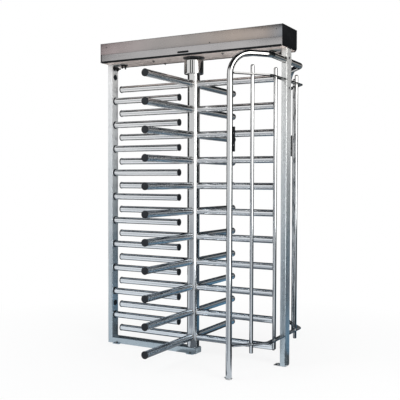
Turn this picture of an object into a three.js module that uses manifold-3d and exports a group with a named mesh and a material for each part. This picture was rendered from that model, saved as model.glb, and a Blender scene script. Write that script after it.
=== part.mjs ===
// Full height turnstile: a rotor of four wings, a fixed comb, a curved guard and a header box.
// Lengths are in millimetres and +Z is up. The origin is on the floor, on the rotor's axis.
// +X runs along the header towards the guard, and +Y points away from the front.

import * as THREE from 'three';
import { mergeVertices } from 'three/addons/utils/BufferGeometryUtils.js';
import Module from 'manifold-3d';

const wasm = await Module();
wasm.setup();

// Fits
const weldGap = 0.3;
const runningGap = 0.5;
const cutOverrun = 15;
const mergeTolerance = 0.0005;

// Facets round a full turn, and along a bend
const armSides = 12;
const columnSides = 20;
const wheelSides = 32;
const tubeSides = 16;
const smallSides = 12;
const largeBendSteps = 5;
const smallBendSteps = 3;
const cornerSteps = 3;

// Rotor: wings of horizontal arms on one column
const wingCount = 4;
const armCollarSpace = 30;
const armPitch = 184;
const lowestArmHeight = 122;
const armDiameter = 48;
const armReach = 645;
const columnDiameter = 90;
const columnWall = 3;
const columnPlugThickness = 12;

// Plastic end cap on each arm and comb bar
const capLength = 9;
const capLip = 2;
const capCrown = 3;

// Collar and shaft at the head of the column
const collarDiameter = 140;
const collarHeight = 98;
const collarWebThickness = 15;
const collarEdge = 3;
const shaftDiameter = 40;
const shaftEndRise = 7;
const shaftPlugLength = 50;

// Posts: rectangular tube, the left one mitred to the floor rail
const postCentre = 720;
const postWidth = 40;
const postDepth = 80;
const postWall = 3;
const footThickness = 5;
const portDiameter = 40;
const cableHoleDiameter = 12;
const cableHoleHeights = [1891, 2091];

// Floor rail, from the left post to just past the column
const railHeight = 40;
const railEnd = 40;
const railCapLength = 7;
const railCapRound = 5;
const railPlugLength = 14;

// Foot plates
const railFootWidth = 60;
const railFootReach = 58;
const railFootInset = 63;
const postFootWidth = 60;
const postFootReach = 50;
const guardFootWidth = 30;
const guardFootBack = 12;
const guardFootReach = 46;
const guardFootCorner = 4;
const anchorHoleDiameter = 13;
const guardAnchorHoleDiameter = 9;
const railBoltHoleDiameter = 7;

// Comb barrier
const combDrop = 87;
const combDiameter = 48;
const combFreeEnd = 116;

// Header box: a tray, a lid over it and a cap on each end
const headerPlateSpace = 5;
const headerWall = 2;
const headerBottom = 2155;
const lidRise = 60;
const lidHeight = 84;
const lidClearance = 1;
const headerBend = 4;
const trayTopGap = 24;
const endCapThickness = 4;
const endCapLip = 12;
const endCapChamfer = 16;
const trayBoreDiameter = 96;

// Angle bracket between a post and the tray
const bracketThickness = 6;
const bracketWidth = 64;
const bracketLeg = 100;
const bracketDrop = 45;
const bracketBend = 6;

// Guard: three sides in plan, tangent to a circle about the rotor's axis
const guardTurnDegrees = 40;
const guardEndRun = 287;
const guardTubeDiameter = 40;
const guardTubeDrop = 78;
const guardTopBend = 145;
const guardPlanBend = 90;
const guardBarDiameter = 25;
const outerBarRun = 131;
const innerBarOffset = 185;
const hoopWidth = 40;
const hoopThickness = 8;
const lowerHoopHeight = 212;
const upperHoopDrop = 133;
const lowerBarOverhang = 59;
const upperBarOverhang = 61;
const hoopPlanBend = 60;

// Reader plate on each end tube of the guard
const readerReach = 37;
const readerHeight = 157;
const readerThickness = 6;
const readerBottom = 1447;

// Bearing housing under the tray
const housingDiameter = 155;
const housingHeight = 20;
const housingFlange = 8;
const housingBossDiameter = 112;
const housingNoseDiameter = 92;
const housingRunningSpace = 3;
const housingNeckDiameter = 94;
const housingNeckHeight = 15;

// Lower pivot on the floor rail
const pivotFlangeDiameter = 78;
const pivotFlangeThickness = 5;
const pivotPinDiameter = 30;
const pivotArmSpace = 8;
const pivotRunningSpace = 2;

// Mechanism plate in the header
const plateLeft = 190;
const plateRight = 125;
const plateRim = 18;
const plateThickness = 8;
const pawlPinDiameter = 14;

// Index wheel on the shaft
const wheelDiameter = 150;
const wheelThickness = 12;
const wheelHubDiameter = 66;
const wheelHubHeight = 7;
const wheelClearance = 9;
const notchWidth = 20;
const notchDepth = 14;

// Locking pawl, one for each way of turning
const pawlPivotBack = 100;
const pawlWheelSpace = 25;
const pawlBossDiameter = 26;
const pawlArmHalfWidth = 8;
const noseStart = 96;
const noseLength = 13;
const noseRise = 21;
const noseRelief = 5;
const tailReach = 45;
const tailHalfWidth = 9;
const slotLength = 13;
const slotClearance = 0.6;
const pawlFloorClearance = 9;

// Solenoid and its plunger
const solenoidWidth = 50;
const solenoidLength = 58;
const solenoidHeight = 42;
const solenoidGap = 12;
const solenoidCorner = 4;
const plungerDiameter = 12;
const plungerInset = 36;
const plungerRunout = 5;
const yokeWidth = 16;
const yokeClearance = 3.6;
const yokeEar = 3;
const linkPinDiameter = 6;

// Damper on a bridge over the index wheel
const bridgeSpan = 204;
const bridgeDepth = 70;
const bridgeLeg = 10;
const bridgeThickness = 8;
const bridgeClearance = 6;
const damperDiameter = 100;
const damperHeight = 34;
const damperCoverDiameter = 70;
const damperCoverHeight = 8;

// Control box on the tray floor
const controlStart = 260;
const controlLength = 200;
const controlDepth = 130;
const controlHeight = 62;
const controlCorner = 8;

// Values that follow from the sizes above
const armRadius = armDiameter / 2;
const columnRadius = columnDiameter / 2;
const shaftRadius = shaftDiameter / 2;
const railBottom = footThickness;
const railTop = railBottom + railHeight;
const pivotTop = railTop + pivotFlangeThickness;
const columnBottom = pivotTop + pivotRunningSpace;
const housingBottom = headerBottom - housingHeight;
const collarTop = housingBottom - housingRunningSpace;
const collarBottom = collarTop - collarHeight;
const columnTop = collarTop - collarWebThickness;
const armTiers = 1 + Math.floor((collarBottom - armCollarSpace - armRadius - lowestArmHeight) / armPitch);
const combCount = armTiers - 1;
const postInnerFace = postCentre - postWidth / 2;
const postOuterFace = postCentre + postWidth / 2;
const combLowest = lowestArmHeight + armPitch - combDrop;
const headerLength = 2 * postOuterFace;
const pawlPivotOut = wheelDiameter / 2 + pawlWheelSpace;
const plateDepth = 2 * (pawlPivotOut + plateRim);
const headerDepth = plateDepth + 2 * (headerPlateSpace + headerWall);
const lidBottom = headerBottom + lidRise;
const headerTop = lidBottom + lidHeight;
const trayWallTop = headerTop - trayTopGap;
const trayFloorTop = headerBottom + headerWall;
const plateTop = trayFloorTop + plateThickness;
const pawlBottom = plateTop + pawlFloorClearance;
const wheelBottom = plateTop + wheelClearance;
const wheelTop = wheelBottom + wheelThickness;
const linkHeight = wheelBottom + wheelThickness / 2;
const bridgeBottom = wheelTop + wheelHubHeight + bridgeClearance;
const bridgeTop = bridgeBottom + bridgeThickness;
const shaftTop = bridgeTop + shaftEndRise;
const guardRadius = postCentre;
const guardTurn = THREE.MathUtils.degToRad(guardTurnDegrees);
const guardCornerOffset = guardRadius * Math.tan(guardTurn / 2);
const guardTubeHeight = headerBottom - guardTubeDrop;
const hoopHeights = { lower: lowerHoopHeight, upper: guardTubeHeight - upperHoopDrop };
const guardBarBottom = hoopHeights.lower - lowerBarOverhang;
const guardBarTop = hoopHeights.upper + upperBarOverhang;

const finish = {
  polished: { color: 0xc9ccce, roughness: 0.22, metalness: 1 },
  brushed: { color: 0xb4b3b1, roughness: 0.38, metalness: 1 },
  blackPlastic: { color: 0x17191b, roughness: 0.5, metalness: 0 },
  darkIron: { color: 0x2c2e30, roughness: 0.6, metalness: 0.7 },
  steel: { color: 0x8f9397, roughness: 0.4, metalness: 1 },
  zinc: { color: 0xa6a8a5, roughness: 0.45, metalness: 0.9 },
  greyPlastic: { color: 0x6d7174, roughness: 0.6, metalness: 0 },
};

const turnstile = new THREE.Group();

// Solids

function isWhole(a, b, c) {
  return a !== b && b !== c && c !== a;
}

function signedVolume(points, faces) {
  const [a, b, c] = [new THREE.Vector3(), new THREE.Vector3(), new THREE.Vector3()];
  let total = 0;
  for (let i = 0; i < faces.length; i += 3) {
    a.fromArray(points, faces[i] * 3);
    b.fromArray(points, faces[i + 1] * 3);
    c.fromArray(points, faces[i + 2] * 3);
    total += a.dot(b.cross(c));
  }
  return total;
}

// Joins shared corners, drops collapsed triangles and turns the faces outwards.
function closed(geometry) {
  const bare = geometry.clone();
  bare.deleteAttribute('normal');
  bare.deleteAttribute('uv');
  const merged = mergeVertices(bare, mergeTolerance);
  const points = merged.attributes.position.array;
  const all = merged.index.array;
  const faces = [];
  for (let i = 0; i < all.length; i += 3) {
    if (isWhole(all[i], all[i + 1], all[i + 2])) {
      faces.push(all[i], all[i + 1], all[i + 2]);
    }
  }
  if (signedVolume(points, faces) < 0) {
    for (let i = 0; i < faces.length; i += 3) {
      [faces[i + 1], faces[i + 2]] = [faces[i + 2], faces[i + 1]];
    }
  }
  const result = new THREE.BufferGeometry();
  result.setAttribute('position', new THREE.BufferAttribute(new Float32Array(points), 3));
  result.setIndex(faces);
  return result;
}

function solid(geometry) {
  const shell = closed(geometry);
  return new wasm.Manifold(new wasm.Mesh({
    numProp: 3,
    vertProperties: shell.attributes.position.array,
    triVerts: Uint32Array.from(shell.index.array),
  }));
}

function geometryOf(manifold) {
  const mesh = manifold.getMesh();
  const result = new THREE.BufferGeometry();
  result.setAttribute('position', new THREE.BufferAttribute(new Float32Array(mesh.vertProperties), 3));
  result.setIndex(Array.from(mesh.triVerts));
  return result;
}

function joined(...geometries) {
  return geometryOf(geometries.map(solid).reduce((whole, next) => whole.add(next)));
}

function cut(geometry, ...tools) {
  return geometryOf(tools.map(solid).reduce((whole, tool) => whole.subtract(tool), solid(geometry)));
}

function addPiece(name, geometry, look, parent = turnstile) {
  const piece = new THREE.Mesh(closed(geometry), new THREE.MeshStandardMaterial(look));
  piece.geometry.computeVertexNormals();
  piece.name = name;
  parent.add(piece);
  return piece;
}

// Shapes

function block(x0, x1, y0, y1, z0, z1) {
  const box = new THREE.BoxGeometry(x1 - x0, y1 - y0, z1 - z0);
  return box.translate((x0 + x1) / 2, (y0 + y1) / 2, (z0 + z1) / 2);
}

// A revolved profile about Z: pairs of radius and height.
function turned(profile, sides) {
  const points = profile.map(([radius, height]) => new THREE.Vector2(radius, height));
  return new THREE.LatheGeometry(points, sides).rotateX(Math.PI / 2);
}

// A revolved ring, whose profile closes on itself.
function turnedRing(profile, sides) {
  return turned([...profile, profile[0]], sides);
}

function rod(radius, bottom, top, sides) {
  return turned([[0, bottom], [radius, bottom], [radius, top], [0, top]], sides);
}

// Lays a shape that stands along Z down along +X or +Y.
function alongX(geometry) {
  return geometry.rotateY(Math.PI / 2);
}

function alongY(geometry) {
  return geometry.rotateX(-Math.PI / 2);
}

function outline(corners) {
  return new THREE.Shape(corners.map(([x, y]) => new THREE.Vector2(x, y)));
}

function extruded(shape, depth) {
  return new THREE.ExtrudeGeometry(shape, { depth, bevelEnabled: false, curveSegments: cornerSteps });
}

function circle(radius, sides) {
  const corners = [];
  for (let i = 0; i < sides; i += 1) {
    const angle = (2 * Math.PI * i) / sides;
    corners.push([radius * Math.cos(angle), radius * Math.sin(angle)]);
  }
  return outline(corners);
}

function roundedRectangle(width, height, radius) {
  const [right, top] = [width / 2, height / 2];
  const shape = new THREE.Shape();
  shape.moveTo(radius - right, -top);
  shape.lineTo(right - radius, -top);
  shape.absarc(right - radius, radius - top, radius, -Math.PI / 2, 0, false);
  shape.lineTo(right, top - radius);
  shape.absarc(right - radius, top - radius, radius, 0, Math.PI / 2, false);
  shape.lineTo(radius - right, top);
  shape.absarc(radius - right, top - radius, radius, Math.PI / 2, Math.PI, false);
  shape.lineTo(-right, radius - top);
  shape.absarc(radius - right, radius - top, radius, Math.PI, Math.PI * 1.5, false);
  return shape;
}

// A path with one ring of the section at each station.
class StationPath extends THREE.Curve {
  constructor(stations) {
    super();
    this.stations = stations;
  }

  station(share) {
    return this.stations[Math.round(share * (this.stations.length - 1))];
  }

  getPointAt(share, target = new THREE.Vector3()) {
    return target.copy(this.station(share).point);
  }

  getTangentAt(share, target = new THREE.Vector3()) {
    return target.copy(this.station(share).tangent);
  }
}

// Stations along straight runs joined by round bends. Each bend has its radius and its steps.
function bentStations(corners, bends) {
  const first = corners[1].clone().sub(corners[0]).normalize();
  const stations = [{ point: corners[0], tangent: first }];
  let heading = first;
  bends.forEach(({ radius, steps }, i) => {
    const corner = corners[i + 1];
    const next = corners[i + 2].clone().sub(corner).normalize();
    const turn = heading.angleTo(next);
    const side = next.clone().addScaledVector(heading, -Math.cos(turn)).normalize();
    const start = corner.clone().addScaledVector(heading, -radius * Math.tan(turn / 2));
    for (let k = 0; k <= steps; k += 1) {
      const angle = (turn * k) / steps;
      const point = start.clone().addScaledVector(heading, radius * Math.sin(angle));
      point.addScaledVector(side, radius * (1 - Math.cos(angle)));
      const tangent = heading.clone().multiplyScalar(Math.cos(angle)).addScaledVector(side, Math.sin(angle));
      stations.push({ point, tangent });
    }
    heading = next;
  });
  stations.push({ point: corners[corners.length - 1], tangent: heading });
  return stations;
}

function bentTube(radius, corners, bends) {
  const path = new StationPath(bentStations(corners, bends));
  const steps = path.stations.length - 1;
  const options = { steps, extrudePath: path, bevelEnabled: false };
  return new THREE.ExtrudeGeometry(circle(radius, tubeSides), options);
}

// A round bar from its root to a domed plastic cap that stands a little proud.
function cappedBar(radius, root, end) {
  const capStart = end - capLength;
  return alongX(turned([
    [0, root],
    [radius, root],
    [radius, capStart],
    [radius + capLip, capStart],
    [radius + capLip, end - capCrown],
    [0, end],
  ], armSides));
}

// Rectangular tube standing on its lower end, which may be cut to a mitre afterwards.
function boxTube(width, depth, wall, bottom, top) {
  const outer = block(-width / 2, width / 2, -depth / 2, depth / 2, bottom, top);
  const [innerX, innerY] = [width / 2 - wall, depth / 2 - wall];
  return cut(outer, block(-innerX, innerX, -innerY, innerY, bottom - cutOverrun, top + cutOverrun));
}

// The triangle above a line at 45 degrees through the corner of the rail and the left post.
// Its face is set off by half of the weld gap on the given side.
function mitreWedge(side) {
  const reach = postWidth + railHeight;
  const shift = (side * weldGap) / Math.SQRT2;
  const [x, z] = [-postOuterFace, railBottom + shift];
  const corners = [[x - reach, z - reach], [x + reach, z + reach]];
  corners.push(side > 0 ? [x + reach, z - reach] : [x - reach, z + reach]);
  const wedge = extruded(outline(corners), postDepth + 2 * cutOverrun);
  return wedge.rotateX(Math.PI / 2).translate(0, postDepth / 2 + cutOverrun, 0);
}

// Frame

function addPosts() {
  const leftTube = boxTube(postWidth, postDepth, postWall, railBottom, headerBottom);
  leftTube.translate(-postCentre, 0, 0);
  const portHeights = [combLowest + armPitch / 2, combLowest + combCount * armPitch];
  const portDepth = postWall + cutOverrun;
  const ports = portHeights.map((height) => {
    const port = alongX(rod(portDiameter / 2, -portDepth, cutOverrun, tubeSides));
    return port.translate(-postInnerFace, 0, height);
  });
  addPiece('left_post', cut(leftTube, mitreWedge(1), ...ports), finish.brushed);

  const rightTube = boxTube(postWidth, postDepth, postWall, footThickness, headerBottom);
  rightTube.translate(postCentre, 0, 0);
  const cableHoles = cableHoleHeights.map((height) => {
    const hole = alongX(rod(cableHoleDiameter / 2, -portDepth, cutOverrun, smallSides));
    return hole.translate(postOuterFace, 0, height);
  });
  addPiece('right_post', cut(rightTube, ...cableHoles), finish.brushed);

  const footInner = postInnerFace - postFootReach;
  const foot = block(footInner, postOuterFace, -postFootWidth / 2, postFootWidth / 2, 0, footThickness);
  const anchor = rod(anchorHoleDiameter / 2, -cutOverrun, cutOverrun, smallSides);
  anchor.translate(postInnerFace - postFootReach / 2, 0, 0);
  addPiece('right_post_foot', cut(foot, anchor), finish.steel);
}

function addFloorRail() {
  const tube = boxTube(railHeight, postDepth, postWall, -postOuterFace, railEnd);
  const rail = alongX(tube).translate(0, 0, railBottom + railHeight / 2);
  const plate = block(-railFootWidth / 2, railFootWidth / 2, -railFootReach, railFootReach, 0, footThickness);
  const holeY = (railFootReach + postDepth / 2) / 2;
  const holes = [-holeY, holeY].map((y) => (
    rod(railBoltHoleDiameter / 2, -cutOverrun, cutOverrun, smallSides).translate(0, y, 0)
  ));
  const foot = cut(plate, ...holes);
  const feet = [railFootInset - postCentre, 0].map((x) => foot.clone().translate(x, 0, 0));
  addPiece('floor_rail', joined(cut(rail, mitreWedge(-1)), ...feet), finish.brushed);

  const cap = extruded(roundedRectangle(railHeight, postDepth, railCapRound), railCapLength);
  const inset = 2 * (postWall + weldGap);
  const plugSection = roundedRectangle(railHeight - inset, postDepth - inset, railCapRound - postWall);
  const plug = extruded(plugSection, railPlugLength + railCapLength / 2);
  const capWithPlug = joined(cap.translate(0, 0, railEnd), plug.translate(0, 0, railEnd - railPlugLength));
  const endCap = addPiece('rail_end_cap', alongX(capWithPlug), finish.greyPlastic);
  endCap.position.z = railBottom + railHeight / 2;
}

function addComb() {
  const bar = cappedBar(combDiameter / 2, -postInnerFace, -combFreeEnd);
  for (let i = 0; i < combCount; i += 1) {
    const piece = addPiece(`comb_bar_${String(i + 1).padStart(2, '0')}`, bar, finish.polished);
    piece.position.z = combLowest + i * armPitch;
  }
}

// Header

// A folded sheet with a flat web and two flanges: its outline across the header, with rounded outer bends.
function channel(depth, webHeight, flangeEnd) {
  const up = Math.sign(flangeEnd - webHeight);
  const half = depth / 2;
  const inner = half - headerWall;
  const shape = new THREE.Shape();
  shape.moveTo(-half, flangeEnd);
  shape.lineTo(-half, webHeight + up * headerBend);
  shape.quadraticCurveTo(-half, webHeight, headerBend - half, webHeight);
  shape.lineTo(half - headerBend, webHeight);
  shape.quadraticCurveTo(half, webHeight, half, webHeight + up * headerBend);
  shape.lineTo(half, flangeEnd);
  shape.lineTo(inner, flangeEnd);
  shape.lineTo(inner, webHeight + up * headerWall);
  shape.lineTo(-inner, webHeight + up * headerWall);
  shape.lineTo(-inner, flangeEnd);
  return shape;
}

// Turns an outline of Y and Z into a bar along X that is centred on the axis.
function alongHeader(shape, length) {
  const bar = extruded(shape, length);
  return bar.rotateX(Math.PI / 2).rotateZ(Math.PI / 2).translate(-length / 2, 0, 0);
}

function addHeader() {
  const tray = alongHeader(channel(headerDepth, headerBottom, trayWallTop), headerLength);
  const bore = rod(trayBoreDiameter / 2, headerBottom - cutOverrun, headerBottom + cutOverrun, columnSides);
  addPiece('header_tray', cut(tray, bore), finish.brushed);

  const lidDepth = headerDepth + 2 * (lidClearance + headerWall);
  addPiece('header_lid', alongHeader(channel(lidDepth, headerTop, lidBottom), headerLength), finish.brushed);

  const [left, right] = [-lidDepth / 2, lidDepth / 2];
  const face = outline([
    [left, headerBottom],
    [right - endCapChamfer, headerBottom],
    [right, headerBottom + endCapChamfer],
    [right, headerTop],
    [left, headerTop],
  ]);
  const lipHalf = headerDepth / 2 - headerWall - weldGap;
  const lipBottom = trayFloorTop + weldGap;
  const lipTop = headerTop - headerWall - weldGap;
  const lipOuter = outline([
    [-lipHalf, lipBottom],
    [lipHalf, lipBottom],
    [lipHalf, lipTop],
    [-lipHalf, lipTop],
  ]);
  const hollowHalf = lipHalf - endCapThickness;
  const hollow = outline([
    [-hollowHalf, lipBottom + endCapThickness],
    [hollowHalf, lipBottom + endCapThickness],
    [hollowHalf, lipTop - endCapThickness],
    [-hollowHalf, lipTop - endCapThickness],
  ]);
  const panel = alongHeader(face, endCapThickness).translate(endCapThickness / 2, 0, 0);
  const rim = cut(
    alongHeader(lipOuter, endCapLip + endCapThickness),
    alongHeader(hollow, endCapLip + endCapThickness + cutOverrun),
  );
  const cap = joined(panel, rim.translate((endCapThickness - endCapLip) / 2, 0, 0));
  const rightCap = addPiece('header_end_cap_right', cap, finish.blackPlastic);
  rightCap.position.x = headerLength / 2;
  const leftCap = addPiece('header_end_cap_left', cap.clone().scale(-1, 1, 1), finish.blackPlastic);
  leftCap.position.x = -headerLength / 2;
}

// An angle bracket on the inner face of each post, under the tray.
function addBrackets() {
  const t = bracketThickness;
  const shape = new THREE.Shape();
  shape.moveTo(0, 0);
  shape.lineTo(-bracketLeg, 0);
  shape.lineTo(-bracketLeg, -t);
  shape.lineTo(-t - bracketBend, -t);
  shape.quadraticCurveTo(-t, -t, -t, -t - bracketBend);
  shape.lineTo(-t, -bracketDrop);
  shape.lineTo(0, -bracketDrop);
  const angle = extruded(shape, bracketWidth).rotateX(Math.PI / 2).translate(0, bracketWidth / 2, 0);
  const right = addPiece('bracket_right', angle, finish.zinc);
  right.position.set(postInnerFace, 0, headerBottom);
  const left = addPiece('bracket_left', angle.clone().scale(-1, 1, 1), finish.zinc);
  left.position.set(-postInnerFace, 0, headerBottom);
}

// Guard

// The way that the outer run of one half of the guard takes from its corner, in plan.
function guardHeading(side) {
  return new THREE.Vector2(-Math.sin(guardTurn), side * Math.cos(guardTurn));
}

// Corners of one half of the guard in plan: the end tube, the corner and the face of the post.
function guardPlan(side) {
  const corner = new THREE.Vector2(guardRadius, side * guardCornerOffset);
  const end = corner.clone().addScaledVector(guardHeading(side), guardEndRun);
  return [end, corner, new THREE.Vector2(guardRadius, side * (postDepth / 2 + weldGap))];
}

function guardBarPlaces(side) {
  const outer = guardPlan(side)[1].addScaledVector(guardHeading(side), outerBarRun);
  return [outer, new THREE.Vector2(guardRadius, side * innerBarOffset)];
}

// The bent tube of one half, grown all round where it cuts a seat for itself.
function guardTubeShape(side, growth) {
  const [end, corner, post] = guardPlan(side);
  const corners = [
    new THREE.Vector3(end.x, end.y, 0),
    new THREE.Vector3(end.x, end.y, guardTubeHeight),
    new THREE.Vector3(corner.x, corner.y, guardTubeHeight),
    new THREE.Vector3(post.x, post.y, guardTubeHeight),
  ];
  const bends = [
    { radius: guardTopBend, steps: largeBendSteps },
    { radius: guardPlanBend, steps: smallBendSteps },
  ];
  return bentTube(guardTubeDiameter / 2 + growth, corners, bends);
}

// The end tube has a foot tab that points to the rotor's axis.
function addGuardTube(name, side) {
  const [end] = guardPlan(side);
  const tab = roundedRectangle(guardFootBack + guardFootReach, guardFootWidth, guardFootCorner);
  const foot = extruded(tab, footThickness).translate((guardFootReach - guardFootBack) / 2, 0, 0);
  const anchor = rod(guardAnchorHoleDiameter / 2, -cutOverrun, cutOverrun, smallSides);
  anchor.translate((guardTubeDiameter / 2 + guardFootReach) / 2, 0, 0);
  const inwards = end.clone().negate().angle();
  const plate = cut(foot, anchor).rotateZ(inwards).translate(end.x, end.y, 0);
  addPiece(name, joined(guardTubeShape(side, 0), plate), finish.polished);
}

function addGuardBars(name, side) {
  const radius = guardBarDiameter / 2;
  const bar = turned([
    [0, guardBarBottom],
    [radius / 2, guardBarBottom],
    [radius, guardBarBottom + radius / 2],
    [radius, guardBarTop - radius],
    [radius * Math.SQRT1_2, guardBarTop - radius * (1 - Math.SQRT1_2)],
    [0, guardBarTop],
  ], smallSides);
  guardBarPlaces(side).forEach((place, i) => {
    const piece = addPiece(`${name}_${i + 1}`, bar, finish.polished);
    piece.position.set(place.x, place.y, 0);
  });
}

// The flat bar's outline in plan: its line set off to both sides and rounded at the corner.
// Its free end is coped round the end tube.
function hoopOutline(side) {
  const [end, corner, post] = guardPlan(side);
  const coped = end.clone().lerp(corner, guardTubeDiameter / 4 / guardEndRun);
  const plan = [coped, corner, post].map((place) => new THREE.Vector3(place.x, place.y, 0));
  const stations = bentStations(plan, [{ radius: hoopPlanBend, steps: smallBendSteps }]);
  const edge = (offset) => stations.map(({ point, tangent }) => (
    [point.x - offset * tangent.y, point.y + offset * tangent.x]
  ));
  return outline([...edge(hoopWidth / 2), ...edge(-hoopWidth / 2).reverse()]);
}

function addHoops(name, side) {
  const reach = [-cutOverrun, hoopThickness + cutOverrun];
  const barHoles = guardBarPlaces(side).map((place) => (
    rod(guardBarDiameter / 2 + weldGap, ...reach, smallSides).translate(place.x, place.y, 0)
  ));
  const flat = extruded(hoopOutline(side), hoopThickness);
  for (const [level, height] of Object.entries(hoopHeights)) {
    const bottom = height - hoopThickness / 2;
    const tubeSeat = guardTubeShape(side, weldGap).translate(0, 0, -bottom);
    const piece = addPiece(`hoop_${level}_${name}`, cut(flat, tubeSeat, ...barHoles), finish.polished);
    piece.position.z = bottom;
  }
}

// A thin plate on edge that is coped round the end tube and stands out from it along +X.
function addReader(name, side) {
  const [end] = guardPlan(side);
  const [root, half] = [guardTubeDiameter / 4, readerThickness / 2];
  const plate = block(root, readerReach, -half, half, readerBottom, readerBottom + readerHeight);
  addPiece(name, cut(plate.translate(end.x, end.y, 0), guardTubeShape(side, weldGap)), finish.blackPlastic);
}

function addGuard() {
  const sides = { front: -1, rear: 1 };
  for (const [name, side] of Object.entries(sides)) {
    addGuardTube(`guard_tube_${name}`, side);
    addGuardBars(`guard_bar_${name}`, side);
    addHoops(name, side);
    addReader(`reader_plate_${name}`, side);
  }
}

// Bearings

function addBearings() {
  const bore = shaftRadius + runningGap;
  const housing = turnedRing([
    [bore, housingBottom],
    [housingNoseDiameter / 2, housingBottom],
    [housingBossDiameter / 2, headerBottom - housingFlange],
    [housingDiameter / 2, headerBottom - housingFlange],
    [housingDiameter / 2, headerBottom],
    [housingNeckDiameter / 2, headerBottom],
    [housingNeckDiameter / 2, headerBottom + housingNeckHeight],
    [bore, headerBottom + housingNeckHeight],
  ], columnSides);
  addPiece('bearing_housing', housing, finish.darkIron);

  const pinTop = lowestArmHeight - armRadius - pivotArmSpace;
  const pinRadius = pivotPinDiameter / 2;
  const pivot = turned([
    [0, railTop],
    [pivotFlangeDiameter / 2, railTop],
    [pivotFlangeDiameter / 2, pivotTop],
    [pinRadius, pivotTop],
    [pinRadius, pinTop - pinRadius / 4],
    [pinRadius * 0.75, pinTop],
    [0, pinTop],
  ], columnSides);
  addPiece('lower_pivot', pivot, finish.steel);
}

// Rotor

function armHoles() {
  const holes = [];
  for (let tier = 0; tier < armTiers; tier += 1) {
    for (let wing = 0; wing < wingCount; wing += 1) {
      const hole = alongX(rod(armRadius + weldGap, 0, columnRadius + cutOverrun, armSides));
      hole.rotateZ((2 * Math.PI * wing) / wingCount);
      holes.push(hole.translate(0, 0, lowestArmHeight + tier * armPitch));
    }
  }
  return holes;
}

function addRotor() {
  const rotor = new THREE.Group();
  turnstile.add(rotor);

  const inside = columnRadius - columnWall;
  const pinBore = pivotPinDiameter / 2 + runningGap;
  const column = turnedRing([
    [pinBore, columnBottom],
    [columnRadius, columnBottom],
    [columnRadius, columnTop],
    [inside, columnTop],
    [inside, columnBottom + columnPlugThickness],
    [pinBore, columnBottom + columnPlugThickness],
  ], columnSides);
  addPiece('rotor_column', cut(column, ...armHoles()), finish.polished, rotor);

  const arms = [];
  for (let wing = 0; wing < wingCount; wing += 1) {
    const arm = cappedBar(armRadius, -armRadius / 2, armReach);
    arms.push(arm.rotateZ((2 * Math.PI * wing) / wingCount));
  }
  const cross = joined(...arms);
  for (let tier = 0; tier < armTiers; tier += 1) {
    const piece = addPiece(`arm_tier_${String(tier + 1).padStart(2, '0')}`, cross, finish.polished, rotor);
    piece.position.z = lowestArmHeight + tier * armPitch;
  }

  const collarRadius = collarDiameter / 2;
  const collar = turnedRing([
    [columnRadius + weldGap, collarBottom],
    [collarRadius - collarEdge, collarBottom],
    [collarRadius, collarBottom + collarEdge],
    [collarRadius, collarTop - collarEdge],
    [collarRadius - collarEdge, collarTop],
    [shaftRadius + weldGap, collarTop],
    [shaftRadius + weldGap, columnTop],
    [columnRadius + weldGap, columnTop],
  ], columnSides);
  addPiece('head_collar', collar, finish.polished, rotor);

  const plugRadius = inside - weldGap;
  const shaft = turned([
    [0, columnTop - shaftPlugLength],
    [plugRadius, columnTop - shaftPlugLength],
    [plugRadius, columnTop],
    [shaftRadius, columnTop],
    [shaftRadius, shaftTop],
    [0, shaftTop],
  ], columnSides);
  addPiece('drive_shaft', shaft, finish.steel, rotor);

  const wheelRadius = wheelDiameter / 2;
  const hubBore = shaftRadius + weldGap;
  const wheel = turnedRing([
    [hubBore, wheelBottom],
    [wheelRadius, wheelBottom],
    [wheelRadius, wheelTop],
    [wheelHubDiameter / 2, wheelTop],
    [wheelHubDiameter / 2, wheelTop + wheelHubHeight],
    [hubBore, wheelTop + wheelHubHeight],
  ], wheelSides);
  const notches = [];
  for (let wing = 0; wing < wingCount; wing += 1) {
    const notch = block(
      wheelRadius - notchDepth, wheelRadius + cutOverrun,
      -notchWidth / 2, notchWidth / 2,
      wheelBottom - cutOverrun, wheelTop + cutOverrun,
    );
    notches.push(notch.rotateZ((2 * Math.PI * wing) / wingCount));
  }
  addPiece('index_wheel', cut(wheel, ...notches), finish.steel, rotor);
}

// Locking mechanism in the header

function addMechanismPlate() {
  const plate = block(-plateLeft, plateRight, -plateDepth / 2, plateDepth / 2, trayFloorTop, plateTop);
  const neckHole = rod(
    housingNeckDiameter / 2 + weldGap, trayFloorTop - cutOverrun, plateTop + cutOverrun, columnSides,
  );
  const pins = [-1, 1].map((side) => {
    const root = plateTop - plateThickness / 2;
    const pinTop = pawlBottom + wheelThickness + yokeEar;
    const shoulder = rod(pawlBossDiameter / 2, root, pawlBottom - weldGap, smallSides);
    const pin = rod(pawlPinDiameter / 2, root, pinTop, smallSides);
    return joined(shoulder, pin).translate(-pawlPivotBack, side * pawlPivotOut, 0);
  });
  addPiece('mechanism_plate', joined(cut(plate, neckHole), ...pins), finish.zinc);
}

// The pawl lies along +X from its pivot, with its nose on the side of +Y and its slotted tail behind.
function pawlGeometry() {
  const body = outline([
    [-tailReach - slotLength, -tailHalfWidth],
    [noseStart + noseLength - noseRelief, -pawlArmHalfWidth],
    [noseStart + noseLength, 0],
    [noseStart + noseLength, noseRise],
    [noseStart, noseRise],
    [noseStart - noseRelief, pawlArmHalfWidth],
    [-tailReach - slotLength, tailHalfWidth],
  ]);
  const boss = rod(pawlBossDiameter / 2, 0, wheelThickness, tubeSides);
  const bore = rod(pawlPinDiameter / 2 + runningGap, -cutOverrun, wheelThickness + cutOverrun, smallSides);
  const slotWidth = linkPinDiameter + 2 * slotClearance;
  const slotSection = roundedRectangle(slotLength, slotWidth, slotWidth / 2 - weldGap);
  const slot = extruded(slotSection, wheelThickness + 2 * cutOverrun).translate(-tailReach, 0, -cutOverrun);
  return cut(joined(extruded(body, wheelThickness), boss), bore, slot);
}

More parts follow.
